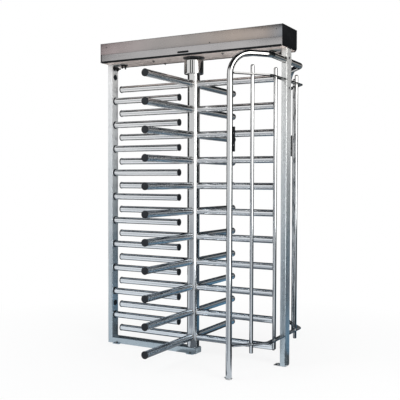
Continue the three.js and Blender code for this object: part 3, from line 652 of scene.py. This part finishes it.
def weld_ring(radius, thickness, saddle=0):
    """A weld bead round a tube that points along +X, with ripples, on a flat or on a round wall."""
    bead = fresh(bpy.ops.mesh.primitive_torus_add, major_radius=radius, minor_radius=thickness,
                 major_segments=72, minor_segments=10, rotation=(0, math.pi / 2, 0))
    for corner in bead.data.vertices:
        angle = math.atan2(corner.co.z, corner.co.y)
        ripple = 1 + 0.012 * math.sin(24 * angle)
        corner.co.y *= ripple
        corner.co.z *= ripple
        if saddle:
            corner.co.x += math.sqrt(max(saddle ** 2 - corner.co.y ** 2, 0)) - saddle
    bpy.ops.object.shade_smooth()
    return bead


arm, arm_cap = capped_bar(arm_root, arm_reach)
arm_bead = placed(weld_ring(arm_radius + 0.0006, 0.003, column_radius), (column_radius + 0.0004, 0, 0))
print("one arm:", len(arm.data.polygons), "faces, bead:", len(arm_bead.data.polygons))

# %% [markdown]
# A tier is four copies of that arm, a quarter turn apart. The tubes, the caps and the beads of a tier are
# three pieces, because each has its own finish, and all of them ride on the rotor.

# %% Tiers of arms
tier_tubes, tier_caps, tier_beads = [
    fused([twin(single, degrees=90 * wing) for wing in range(4)]) for single in (arm, arm_cap, arm_bead)]
for tier, height in enumerate(tier_heights, 1):
    level = (0, 0, height)
    finished(twin(tier_tubes, level), f"arms_{tier:02d}", bar_polish,
             f"arm_tier_{tier:02d}", "rotor")
    finished(twin(tier_caps, level), f"arm_caps_{tier:02d}", cap_black, body="rotor")
    finished(twin(tier_beads, level), f"arm_welds_{tier:02d}", weld, body="rotor")
thrown_away(arm, arm_cap, arm_bead, tier_tubes, tier_caps, tier_beads)
print("tiers:", len(tier_heights))

# %% [markdown]
# The column is one polished tube with a plug at its foot. A heavy collar clamps its head to the drive shaft. The
# collar has broken edges, four set screws in blind holes and four slots, all cut by booleans, and near-black plates
# inside the slots paint shade into them.

# %% Column and collar
low, high = heights("rotor_column")
column = turned([(0.0158, low), (0.0435, low), (column_radius, low + 0.0015), (column_radius, high - 0.001),
                 (0.0422, high - 0.001), (0.0422, high - 0.3), (0.0158, high - 0.3)], 96, True)
finished(smooth(column), "column", polished, "rotor_column", "rotor")

low, high = heights("head_collar")
middle = (low + high) / 2
screw_directions, slot_directions = (45, 135, 225, 315), (-69, -81, 111, 99)
collar = turned([(0.0453, low), (0.066, low), (0.0685, low + 0.0008), (0.07, low + 0.003), (0.07, high - 0.003),
                 (0.0685, high - 0.0008), (0.066, high), (0.0203, high), (0.0203, high - 0.015),
                 (0.0453, high - 0.015)], 96, True)
for direction in screw_directions:
    bored(collar, lying(turned([(0.0045, 0.05), (0.0045, 0.08)], 24), direction, middle))
for direction in slot_directions:
    bored(collar, placed(block((0.016, 0.007, 0.2), (0.07, 0, middle)), degrees=(0, 0, direction)))
finished(smooth(collar), "collar", polished, "head_collar", "rotor")

# Painted shade: a near-black plate stands inside each slot, so the slots look as dark as shade would make them.
slot_shade = plate((0.002, 0.0066, high - low - 0.006), (0.065, 0, middle), 0.0004, 0.0002)
slot_shades = fused([twin(slot_shade, degrees=direction) for direction in slot_directions])
finished(slot_shades, "collar_slot_painted_shade", panel_black, body="rotor")
thrown_away(slot_shade)
screw_rings = [(0.0036, 0.058), (0.0036, 0.0665), (0.003, 0.0672), (0.0018, 0.0672), (0.0018, 0.065)]
collar_screws = fused([lying(turned(screw_rings, 6), direction, middle) for direction in screw_directions])
finished(collar_screws, "collar_screws", bolt_zinc, body="rotor")
print("collar from", round(low, 3), "to", round(high, 3))

# %% [markdown]
# ## Comb
# Ten fixed bars reach from the left post between the tiers. They share the arm's tube and cap, and a
# black ring covers the joint where each enters the flat wall of the post.

# %% Comb bars
comb_heights = [0.219 + tier_pitch * step for step in range(10)]
comb_tip, comb_root = 0.116, 0.7
bar, bar_cap = capped_bar(comb_tip, comb_root)
seal_rings = [(0.0243, 0.6925), (0.0275, 0.6932), (0.0287, 0.6955), (0.029, 0.6997), (0.0243, 0.6997)]
root_seal = smooth(lying(turned(seal_rings, 56, True)), 50)
for step, height in enumerate(comb_heights, 1):
    shift = (-comb_tip - comb_root, 0, height)
    finished(twin(bar, shift), f"comb_tube_{step:02d}", bar_polish, f"comb_bar_{step:02d}")
    finished(twin(bar_cap, shift), f"comb_cap_{step:02d}", cap_black)
    finished(twin(root_seal, (0, 0, height), 180), f"comb_root_seal_{step:02d}", cap_black)
thrown_away(bar, bar_cap, root_seal)

# %% [markdown]
# ## Posts and floor rail
# Rectangular tube has round corners and an even wall. A cube is scaled to the outer size, its ends are
# opened, its long edges bevelled, and the Solidify modifier gives the wall. The joint of the left post
# and the floor rail is a mitre, cut with bisect before the wall is made.

# %% Rectangular tube
tube_wall, tube_corner = 0.003, 0.005


def hollow_section(size, middle, along, mitre=None):
    """Rectangular tube, open at its ends along one axis, with a flat cut given as a point and a direction."""
    tube = opened(block(size, middle), lambda place, normal: abs(normal[along]) > 0.9)
    rounded(tube, lambda place, way: abs(way[along]) > 0.9, tube_corner)
    if mitre:
        change(tube, "faces", every, bpy.ops.mesh.bisect, plane_co=mitre[0], plane_no=mitre[1], clear_outer=True)
    return smooth(walled(outward(tube), tube_wall))


post_x, post_foot, header_bottom = 0.72, 0.005, heights("header_tray")[0]


def post(side, mitre=None):
    size = (0.04, 0.08, header_bottom - post_foot)
    return hollow_section(size, (side * post_x, 0, (header_bottom + post_foot) / 2), 2, mitre)

# %% Left post with its two ports
port_heights = (0.311, 2.059)
left_post = post(-1, ((-0.74, 0, 0.0052), (1, 0, -1)))
for height in port_heights:
    bored(left_post, lying(turned([(0.02, 0.69), (0.02, 0.72)]), 180, height))
finished(smooth(left_post), "left_post_tube", post_grain, "left_post")

grommet = [(0.0199, -0.7035), (0.0199, -0.6998), (0.022, -0.6996), (0.0217, -0.6985), (0.018, -0.698),
           (0.0172, -0.6996), (0.006, -0.7004)]
grommets = fused([lying(turned(grommet), 0, height) for height in port_heights])
finished(grommets, "port_grommets", cap_black)
print("left post:", len(left_post.data.polygons), "faces")

# %% [markdown]
# The rail is the same rectangular tube laid down, with its left end mitred to meet the post. Two plates
# carry it off the paving, one under the column and one beside the left post.

# %% Floor rail with its foot plates
foot_places = (-0.657, 0)
rail = hollow_section((0.78, 0.08, 0.04), (-0.35, 0, 0.025), 0, ((-0.74, 0, 0.0048), (-1, 0, 1)))
feet = [plate((0.06, 0.116, 0.005), (x, 0, 0.0025)) for x in foot_places]
finished(fused([rail, *feet]), "floor_rail_tube", upright_grain, "floor_rail")
print("foot plates:", len(feet))

# %% [markdown]
# ## Right post and the rail's end
# The right post stands on a tab with one anchor. The rail's open end is closed by a plastic plug with
# well rounded edges.

# %% Right post, tab and plug
right_post = post(1)
cable_hole_heights = (1.891, 2.091)
for height in cable_hole_heights:
    bored(right_post, lying(turned([(0.006, 0.73), (0.006, 0.75)], 24), 0, height))
finished(smooth(right_post), "right_post_tube", upright_grain, "right_post")
cable_plug = turned([(0.0056, 0.7365), (0.0056, 0.7401), (0.0085, 0.7401), (0.0085, 0.741), (0.007, 0.7418),
                     (0.003, 0.7421)], 32)
cable_plug = smooth(lying(cable_plug), 40)
cable_plugs = fused([twin(cable_plug, (0, 0, height)) for height in cable_hole_heights])
finished(cable_plugs, "cable_hole_plugs", cap_black)
thrown_away(cable_plug)
low, high, size, middle = measured("right_post_foot")
finished(plate(size, middle), "right_post_tab", machined, "right_post_foot")

plug = plate((0.0069, 0.0798, 0.0398), (0.04355, 0, 0.025), 0.005, 0.0022)
plug_body = plate((0.013, 0.0728, 0.0328), (0.0335, 0, 0.025), 0.002, 0.0006)
finished(fused([plug, plug_body]), "rail_plug", plug_grey, "rail_end_cap")
print("right post and plug ready")

# %% [markdown]
# ## Bolts and anchors
# One recipe makes a hexagon bolt with its washer, and every fixing on the object is that bolt at its own
# size. The head is a six sided turned shape that narrows at its top, and the stud's thread is five rings.

# %% One bolt
def hexagon_bolt(across, head, stud=0):
    """A hexagon head with a washer, standing on zero height, and a stud end above it if one is wanted."""
    base = across * 0.14
    parts = [turned([(across * 0.92, 0), (across * 0.92, across * 0.1), (across * 0.88, base)], 32),
             turned([(across * 0.577, base), (across * 0.577, base + head * 0.86), (across * 0.5, base + head)], 6)]
    if stud:
        thread = [(across * width, base + head + stud / 5 * (ring + rise))
                  for ring in range(5) for width, rise in ((0.28, 0.25), (0.31, 0.75))]
        parts.append(turned([(across * 0.28, base), *thread, (across * 0.24, base + head + stud)], 20))
    return smooth(fused(parts))


rail_bolt, anchor = hexagon_bolt(0.01, 0.006, 0.006), hexagon_bolt(0.015, 0.006)
rail_bolts = [twin(rail_bolt, (x, side * 0.049, 0.005), 20 * side) for x in foot_places for side in (-1, 1)]
finished(fused(rail_bolts), "rail_bolts", bolt_zinc)
finished(twin(anchor, (0.675, 0, 0.005), 12), "right_post_anchor", zinc)
thrown_away(rail_bolt, anchor)
print("bolts:", len(rail_bolts))

# %% [markdown]
# ## Header
# The header is a long folded tray with a lid over it. Both are bent from 2 mm sheet: a box is opened on
# the sides that stay open, its long edges are bevelled into bends, and Solidify gives the sheet its
# thickness. The lid laps over the tray and leaves the step that the photograph shows.

# %% Folded channels
sheet_wall, sheet_bend = 0.002, 0.004


def folded(size, middle, open_up):
    """A channel folded from sheet, along X, open at its ends and on one long side."""
    channel = opened(block(size, middle), lambda place, normal: abs(normal.x) > 0.9 or normal.z * open_up > 0.9)
    web = middle[2] - open_up * size[2] / 2
    rounded(channel, lambda place, way: abs(way.x) > 0.9 and abs(place.z - web) < 1e-5, sheet_bend, 5)
    return soften(walled(channel, sheet_wall), 0.0004, limit=50)


tray_low, tray_high, tray_size, tray_middle = measured("header_tray")
lid_low, lid_high, lid_size, lid_middle = measured("header_lid")
tray = bored(folded(tray_size, tray_middle, 1), turned([(0.048, 2.13), (0.048, 2.18)], 64))
finished(smooth(tray), "header_tray_sheet", tray_grain, "header_tray")
second_finish(tray, under_grain, lambda middle, normal: normal.z < -0.9 and middle.z < tray_low[2] + 0.001)
lid = folded(lid_size, lid_middle, -1)
finished(lid, "header_lid_sheet", long_grain, "header_lid")
second_finish(lid, top_grain, lambda middle, normal: normal.z > 0.5 or normal.y > 0.7)
print("tray and lid:", [round(value, 3) for value in tray_size], [round(value, 3) for value in lid_size])

# %% [markdown]
# The ends of the box are closed by moulded caps. Each is a thin slab with one corner cut off and a shallow
# panel sunk into its face by two insets, because a moulding is never quite flat.

# %% End caps of the header
front_and_rear, right_and_left = ((-1, "front"), (1, "rear")), ((1, "right"), (-1, "left"))


def end_cap(side, node_name):
    """A moulded cap with a shallow sunk panel, and the lower rear corner cut off."""
    low, high, size, middle = measured(node_name)
    cap = block((0.004, size[1], size[2]), (side * 0.742, 0, middle[2]))
    rounded(cap, lambda place, way: abs(way.x) > 0.9 and place.y > 0 and place.z < 2.2, 0.016, 1)
    edit(cap, "faces", lambda place, normal: normal.x * side > 0.9)
    bpy.ops.mesh.inset(thickness=0.007)
    bpy.ops.mesh.inset(thickness=0.002)
    bpy.ops.transform.translate(value=(-0.0012 * side, 0, 0))
    return soften(outward(leave()), 0.0007)


for side, name in right_and_left:
    cap = end_cap(side, f"header_end_cap_{name}")
    finished(cap, f"header_cap_{name}", panel_black, f"header_end_cap_{name}")
print("end caps ready")

# %% [markdown]
# Small things make a fabricated box believable: pan head screws along the lid's lap, nuts under the tray,
# and a bare dark strip where such a box would carry its plate.

# %% Screws, nuts and the bare strip
radius = 0.0042
pan_head = turned([(radius, 0), (radius, radius * 0.25), (radius * 0.92, radius * 0.5),
                   (radius * 0.6, radius * 0.62)], 32)
small_screw = smooth(bored(pan_head, turned([(radius * 0.38, radius * 0.2), (radius * 0.38, radius * 1.2)], 6)))
lid_screws = [placed(twin(small_screw), (x, side * lid_high[1], lid_low[2] + rise), (-90 * side, 0, 0))
              for x, rise in ((-0.689, 0.052), (0.198, 0.008), (0.7, 0.052)) for side in (-1, 1)]
finished(fused(lid_screws), "lid_screws", bolt_zinc)
under_nut = hexagon_bolt(0.013, 0.007, 0.004)
nut_places = ((-0.332, -0.0245), (-0.314, 0.111), (0.27, -0.069), (0.314, 0.1))
under_nuts = [placed(twin(under_nut), (x, y, tray_low[2]), (180, 0, 10)) for x, y in nut_places]
finished(fused(under_nuts), "tray_nuts", bolt_zinc)
thrown_away(small_screw, under_nut)
for side, name in front_and_rear:
    # A black strip along each lower edge of the tray draws the dark line there.
    edge_line_strip = plate((2 * lid_high[0] - 0.01, 0.003, 0.015),
                 (0, side * (tray_high[1] - 0.0012), tray_low[2] + 0.0035), 0.0008, 0.0004)
    finished(edge_line_strip, f"tray_edge_black_line_{name}", panel_black)
strip = plate((0.092, 0.0012, 0.014), (-0.019, tray_low[1] - 0.0006, 2.178), 0.006, 0.0003)
finished(strip, "bare_strip", panel_black)
print("lid screws:", len(lid_screws), "nuts:", len(under_nuts))

# %% [markdown]
# A zinc plated angle sits in each corner between a post and the tray, held by near-black bolts whose colour also
# paints in their shadow. The angle is two plates joined into one piece, and one bolt is copied to its four places.

# %% Brackets between posts and tray
bracket_bolt = hexagon_bolt(0.019, 0.012, 0.016)
for side, name in right_and_left:
    flat = plate((0.1, 0.064, 0.006), (side * 0.65, 0, header_bottom - 0.003), 0.003, 0.0006)
    leg = plate((0.006, 0.064, 0.045), (side * 0.697, 0, header_bottom - 0.0225), 0.003, 0.0006)
    finished(fused([flat, leg]), f"bracket_plate_{name}", zinc, f"bracket_{name}")
    fixings = ((0.618, 0.006, (180, 0, 15)), (0.694, 0.03, (0, -90 * side, 0)))
    bolts = [placed(twin(bracket_bolt), (side * x, y, header_bottom - drop), turn)
             for y in (-0.02, 0.02) for x, drop, turn in fixings]
    finished(fused(bolts), f"bracket_bolts_{name}", bolt_black_and_shadow)
thrown_away(bracket_bolt)
print("brackets ready")

# %% [markdown]
# ## Guard
# The guard is a cage of two halves that bends round the rotor. Its end tubes rise from the floor, bend
# over towards the post and bend once more in plan. A tube bender makes exactly that shape, and so does
# the spin tool: the open end of the tube is extruded for each straight run and spun for each bend.

# %% The guard in plan
guard_turn, guard_run, guard_top, top_bend = math.radians(40), 0.287, 2.077, 0.145
corner_offset = post_x * math.tan(guard_turn / 2)
post_face, tube_edge = 0.0403, 0.0203


def guard_points(side):
    """The corner, the way of the outer run, and the end of one half of the guard."""
    corner = Vector((post_x, side * corner_offset, 0))
    heading = Vector((-math.sin(guard_turn), side * math.cos(guard_turn), 0))
    return corner, heading, corner + heading * guard_run


def spun(angle, centre, axis, steps):
    """Spins the open end about an axis. Spin counts its angle the other way, so the sign is turned."""
    bpy.ops.mesh.spin(steps=steps, angle=-angle, center=centre, axis=axis)


def carried_to_post(side, taken, height, bend, steps):
    """Takes an open end from where it stands on the outer run, round the bend in plan, to the post."""
    corner, heading, end = guard_points(side)
    inward, last = -heading, Vector((0, -side, 0))
    before_bend = bend * math.tan(guard_turn / 2)
    run = guard_run - taken - before_bend
    pushed(inward * run)
    start = end + inward * (taken + run) + Vector((0, 0, height))
    sideways = (last - inward * inward.dot(last)).normalized()
    spun(guard_turn, start + sideways * bend, inward.cross(last), steps)
    pushed((0, side * (post_face - corner_offset + before_bend), 0))

# %% Bent end tubes
def guard_tube(side):
    """An end tube, from the floor over its upper bend to the post."""
    corner, heading, end = guard_points(side)
    tube = fresh(bpy.ops.mesh.primitive_circle_add, vertices=56, radius=0.02, fill_type="NOTHING", location=end)
    open_edges()
    up = Vector((0, 0, guard_top - top_bend))
    pushed(up)
    spun(math.pi / 2, end - heading * top_bend + up, up.cross(-heading).normalized(), 18)
    carried_to_post(side, top_bend, guard_top, 0.09, 12)
    leave()
    return smooth(walled(outward(tube), sheet_wall, even=False))


tab = plate((0.058, 0.03, 0.005), (0.017, 0, 0.0025), 0.004, 0.0006)
nut = placed(hexagon_bolt(0.012, 0.008, 0.01), (0.033, 0, 0.005))
ring = weld_ring(0.0205, 0.0028)
for side, name in front_and_rear:
    tube = finished(guard_tube(side), f"guard_end_tube_{name}", polished,
                    f"guard_tube_{name}")
    print(name, "tube spans", [[round(value, 3) for value in tube.bound_box[corner]] for corner in (0, 6)])
    corner, heading, end = guard_points(side)
    degrees = math.degrees(math.atan2(-end.y, -end.x))
    finished(twin(tab, end, degrees), f"guard_tab_{name}", machined)
    finished(twin(nut, end, degrees), f"guard_anchor_{name}", bolt_zinc)
    foot_ring = placed(lying(twin(ring)), (end.x, end.y, 0.0065))
    finished(foot_ring, f"guard_foot_weld_{name}", weld_bright)
    top_ring = placed(twin(ring), (post_x, side * 0.0405, guard_top), (0, 0, 90))
    finished(top_ring, f"guard_top_weld_{name}", weld)
thrown_away(tab, nut, ring)

# %% [markdown]
# Thin round bars fill the guard, with domed ends. A turned shape gives the dome ring by ring, and the bar
# is copied to its places from the plan of the guard.

# %% Thin bars of the guard
def bar_places(side):
    corner, heading, end = guard_points(side)
    return corner + heading * 0.131, Vector((post_x, side * 0.185, 0))


low, high = heights("guard_bar_front_1")
thin_bar = turned([(0.0085, low), (0.0113, low + 0.0012), (0.0125, low + 0.004), (0.0125, high - 0.0105),
                   (0.012, high - 0.007), (0.0105, high - 0.0038), (0.008, high - 0.0016),
                   (0.0045, high - 0.0004), (0.0015, high)], 40)
smooth(thin_bar, 50)
for side, name in front_and_rear:
    for number, place in enumerate(bar_places(side), 1):
        finished(twin(thin_bar, place), f"guard_thin_bar_{name}_{number}", polished,
                 f"guard_bar_{name}_{number}")
thrown_away(thin_bar)
print("thin bars from", round(low, 3), "to", round(high, 3))

# %% [markdown]
# Two levels of flat bar tie the uprights together and follow the guard's bend. The section is extruded for
# the straight runs and spun for the bend, as for the tubes, and each crossing gets a small weld.

# %% Flat hoops of the guard
def hoop(side, middle):
    """A flat bar that runs from the end tube to the post, bent once in plan."""
    corner, heading, end = guard_points(side)
    direction = math.degrees(math.atan2(-heading.y, -heading.x))
    flat = fresh(bpy.ops.mesh.primitive_plane_add, (0.04, 0.008, 1), size=1)
    placed(flat, end - heading * tube_edge + Vector((0, 0, middle)), (90, 0, direction + 90))
    opened(flat, every)
    open_edges()
    carried_to_post(side, tube_edge, middle, 0.06, 10)
    bpy.ops.mesh.select_all(action="SELECT")
    bpy.ops.mesh.fill_holes(sides=8)
    return soften(outward(leave()), 0.0012, 3)


ring = turned([(0.0126, -0.0016), (0.0152, -0.001), (0.0152, 0.001), (0.0126, 0.002)], 32, True)
for side, name in front_and_rear:
    for level in ("lower", "upper"):
        middle = sum(heights(f"hoop_{level}_{name}")) / 2
        finished(hoop(side, middle), f"flat_hoop_{level}_{name}", hoop_polish,
                 f"hoop_{level}_{name}")
        beads = [twin(ring, place + Vector((0, 0, middle + face)))
                 for place in bar_places(side) for face in (-0.0045, 0.0045)]
        finished(fused(beads), f"hoop_welds_{level}_{name}", weld)
thrown_away(ring)
print("hoops ready")

# %% [markdown]
# A dark plate stands out from each end tube, seen nearly edge on. Such plates carry a card reader, so each
# gets two bare screw holes and a softened edge.

# %% Reader plates
for side, name in front_and_rear:
    low, high, size, middle = measured(f"reader_plate_{name}")
    card = plate((size[0], 0.006, size[2]), middle, 0.003)
    for rise in (0.04, 0.117):
        hole = turned([(0.0028, -0.02), (0.0028, 0.02)], 20)
        bored(card, placed(hole, (high[0] - 0.009, middle[1], low[2] + rise), (90, 0, 0)))
    finished(smooth(card), f"reader_card_{name}", panel_black, f"reader_plate_{name}")
print("reader plates ready")

# %% [markdown]
# ## Bearings
# The housing is a casting: a round flange with six bolts under the tray, and a boss that narrows down to
# the collar. The lower pivot is a round flange on the rail, with a stub that the column runs on.

# %% Bearing housing and lower pivot
low, high = heights("bearing_housing")
flange_foot = header_bottom - 0.008
housing = turned([(0.0205, low), (0.045, low), (0.0465, low + 0.001), (0.055, header_bottom - 0.0095),
                  (0.058, flange_foot), (0.076, flange_foot), (0.0775, header_bottom - 0.0065),
                  (0.0775, header_bottom), (0.047, header_bottom), (0.047, high), (0.0205, high)], 96, True)
finished(smooth(housing), "housing_casting", iron, "bearing_housing")
flange_bolt = hexagon_bolt(0.008, 0.0045)
bolt_circle, bolt_angles = 0.067, [math.radians(30 + 60 * sixth) for sixth in range(6)]
bolt_places = [(bolt_circle * math.cos(angle), bolt_circle * math.sin(angle), flange_foot) for angle in bolt_angles]
flange_bolts = [placed(twin(flange_bolt), place, (180, 0, 10)) for place in bolt_places]
finished(fused(flange_bolts), "housing_bolts", bolt_zinc)
thrown_away(flange_bolt)

low, high = heights("lower_pivot")
pivot = turned([(0.0375, low), (0.039, low + 0.001), (0.039, 0.049), (0.0382, 0.05), (0.015, 0.05),
                (0.015, high - 0.003), (0.0115, high)], 64)
finished(smooth(pivot), "pivot_casting", machined, "lower_pivot")
print("bearings ready")

# %% [markdown]
# ## Inside the header
# The locking mechanism is hidden by the header, and its CAD solids already have the right shapes. They
# keep their meshes and only get finishes.

# %% Finishes of the mechanism
inside = (
    (machined, ("drive_shaft", "index_wheel", "entry_pawl", "exit_pawl", "entry_plunger", "exit_plunger")),
    (zinc, ("mechanism_plate", "entry_solenoid", "exit_solenoid", "damper_bridge")),
    (box_grey, ("control_box",)),
)
for finish, node_names in inside:
    for node_name in node_names:
        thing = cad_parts[node_name]
        thing.data.materials.clear()
        thing.data.materials.append(finish)
print("finished inside:", sum(len(node_names) for finish, node_names in inside))
